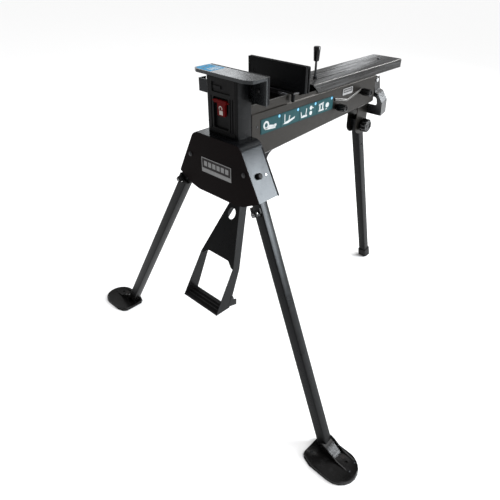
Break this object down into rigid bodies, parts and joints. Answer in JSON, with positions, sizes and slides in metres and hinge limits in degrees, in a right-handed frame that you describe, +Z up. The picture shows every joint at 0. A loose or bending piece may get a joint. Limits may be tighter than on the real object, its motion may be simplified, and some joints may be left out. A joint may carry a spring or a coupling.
{
  "type": "foot-operated clamping work stand",
  "caption": "Portable tripod work stand: a foot pedal pulls a sliding beam with a moving jaw towards a fixed jaw to clamp work.",
  "frame": {"origin": "Middle of the footprint, on the ground", "axes": "+X across the stand to the side with the knobs, +Y from the fixed jaw towards the rear leg, +Z up"},
  "size_m": [1.09, 0.9514, 0.8856],
  "materials": {
    "black_paint": "satin near-black powder coat",
    "beam_paint": "semi-gloss dark grey paint that catches the light",
    "cover_paint": "satin near-black paint with a warm tone",
    "jaw_top_paint": "semi-gloss dark paint",
    "black_plastic": "matt black moulded plastic",
    "red_plastic": "red moulded plastic",
    "rubber": "matt black rubber",
    "steel": "bright zinc-plated steel",
    "label_teal": "printed dark teal film",
    "label_grey": "printed light grey film"
  },
  "bodies": {
    "frame": {"body_channel": "black_paint", "body_end_bracket": "black_paint", "instruction_label": "label_teal", "blank_badge": "label_grey", "rail_glide_block": "black_plastic", "head_housing": "black_paint", "head_front_cover": "cover_paint", "cover_nameplate": "label_grey", "left_pivot_bolt": "black_paint", "right_pivot_bolt": "black_paint", "left_side_plug": "black_plastic", "right_side_plug": "black_plastic", "column_box": "black_paint", "column_front_panel": "black_plastic", "column_side_bracket": "black_paint", "left_column_bolt": "steel", "right_column_bolt": "steel", "fixed_jaw": "jaw_top_paint", "fixed_jaw_pad": "black_plastic", "left_fixed_jaw_screw": "steel", "right_fixed_jaw_screw": "steel", "pedal_bracket": "black_paint", "pedal_pivot_pin": "steel", "pedal_return_spring": "steel", "rear_leg_bracket": "black_paint", "rear_leg_bolt": "steel", "rear_handle": "black_plastic", "rear_handle_pin": "steel"},
    "slider": {"slide_beam": "beam_paint", "drive_rail": "steel", "beam_rivet": "black_paint", "rail_screw": "black_paint", "moving_jaw": "black_paint", "moving_jaw_pad": "black_plastic", "left_moving_jaw_screw": "black_paint", "right_moving_jaw_screw": "black_paint", "left_jaw_guide_stud": "steel", "right_jaw_guide_stud": "steel"},
    "jaw_handle": {"handle_rod": "steel", "handle_grip": "black_plastic"},
    "lever": {"lock_lever": "red_plastic"},
    "release": {"holding_plate": "steel"},
    "drive": {"pedal_link": "steel"},
    "pedal": {"pedal_frame": "black_paint", "pedal_tread": "black_paint", "pedal_crank": "steel"},
    "left_leg": {"left_front_leg": "black_paint", "left_foot": "black_paint", "left_foot_sole": "rubber"},
    "left_latch": {"left_leg_latch": "black_plastic"},
    "right_leg": {"right_front_leg": "black_paint", "right_foot": "black_paint", "right_foot_sole": "rubber"},
    "right_latch": {"right_leg_latch": "black_plastic"},
    "back_leg": {"rear_leg": "black_paint", "rear_foot_cap": "rubber"},
    "back_leg_knob": {"rear_leg_knob": "black_plastic"},
    "front_side_knob": {"body_knob_1": "black_plastic"},
    "rear_side_knob": {"body_knob_2": "black_plastic"}
  },
  "joints": [
    {"name": "jaw_slide", "type": "slide", "parent": "frame", "child": "slider", "axis": [0, 1, 0], "range_m": [-0.127, 0.24]},
    {"name": "jaw_handle_turn", "type": "hinge", "parent": "slider", "child": "jaw_handle", "pos_m": [0.008, 0.01085, 0.803], "axis": [0, 0, 1], "continuous": true},
    {"name": "lock_lever_tilt", "type": "hinge", "parent": "frame", "child": "lever", "pos_m": [0, -0.33465, 0.8065], "axis": [-1, 0, 0], "range_deg": [0, 75]},
    {"name": "release_pull", "type": "slide", "parent": "frame", "child": "release", "axis": [0, -1, 0], "range_m": [0, 0.004]},
    {"name": "pedal_press", "type": "hinge", "parent": "frame", "child": "pedal", "pos_m": [0, -0.25415, 0.59], "axis": [1, 0, 0], "range_deg": [0, 18], "stiffness_Nm_per_rad": 3, "springref_deg": -29.79},
    {"name": "drive_pull", "type": "slide", "parent": "frame", "child": "drive", "axis": [0, -1, 0], "range_m": [0, 0.0235]},
    {"name": "left_leg_fold", "type": "hinge", "parent": "frame", "child": "left_leg", "pos_m": [-0.097, -0.33465, 0.6565], "axis": [0, 0.9942, -0.108], "range_deg": [-27.8, 0]},
    {"name": "right_leg_fold", "type": "hinge", "parent": "frame", "child": "right_leg", "pos_m": [0.097, -0.33465, 0.6565], "axis": [0, 0.9942, -0.108], "range_deg": [0, 27.8]},
    {"name": "left_latch_slide", "type": "slide", "parent": "left_leg", "child": "left_latch", "axis": [-0.4664, -0.0955, -0.8794], "range_m": [0, 0.012]},
    {"name": "right_latch_slide", "type": "slide", "parent": "right_leg", "child": "right_latch", "axis": [0.4664, -0.0955, -0.8794], "range_m": [0, 0.012]},
    {"name": "back_leg_fold", "type": "hinge", "parent": "frame", "child": "back_leg", "pos_m": [0, 0.27085, 0.612], "axis": [-1, 0, 0], "range_deg": [0, 68]},
    {"name": "back_leg_knob_turn", "type": "hinge", "parent": "frame", "child": "back_leg_knob", "pos_m": [0.0185, 0.27085, 0.612], "axis": [1, 0, 0], "continuous": true},
    {"name": "front_side_knob_turn", "type": "hinge", "parent": "frame", "child": "front_side_knob", "pos_m": [0.052, 0.06385, 0.722], "axis": [1, 0, 0], "continuous": true},
    {"name": "rear_side_knob_turn", "type": "hinge", "parent": "frame", "child": "rear_side_knob", "pos_m": [0.052, 0.18685, 0.742], "axis": [1, 0, 0], "continuous": true}
  ],
  "couplings": [
    {"joint": "drive_pull", "follows": "pedal_press", "m_per_rad": 0.07385},
    {"joint": "lock_lever_tilt", "follows": "release_pull", "rad_per_m": 327.05}
  ]
}
